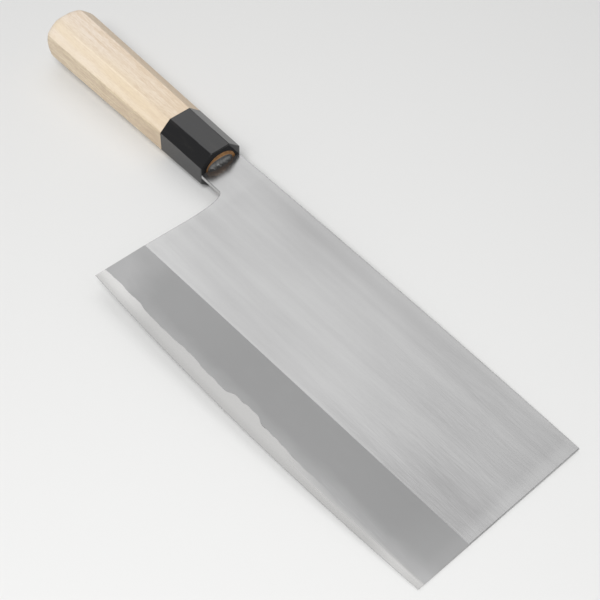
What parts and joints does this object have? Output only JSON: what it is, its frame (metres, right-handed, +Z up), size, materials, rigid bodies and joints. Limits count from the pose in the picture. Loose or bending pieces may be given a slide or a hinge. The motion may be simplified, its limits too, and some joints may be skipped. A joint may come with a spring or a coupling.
{
  "type": "chinese cleaver",
  "caption": "Broad rectangular kitchen cleaver with a laminated, bevelled blade on a tang set in an octagonal wooden handle with a black horn ferrule.",
  "frame": {"origin": "on the table under the middle of the knife as it lies on its right side", "axes": "+X from the handle towards the toe, +Y from the edge towards the spine, +Z up out of the left face"},
  "size_m": [0.3806, 0.1116, 0.032],
  "materials": {
    "core_steel": "honed bright, fine scratches along the edge",
    "cladding_iron": "satin, brushed along the blade, with a misty grey bevel",
    "horn": "polished black horn",
    "pale_wood": "sanded, unvarnished, straight fine grain",
    "resin": "dark cured resin, glossy"
  },
  "bodies": {
    "root": {"core_steel": "core_steel", "cladding_left": "cladding_iron", "cladding_right": "cladding_iron", "ferrule": "horn", "handle_body": "pale_wood", "tang_seal": "resin"}
  },
  "joints": []
}
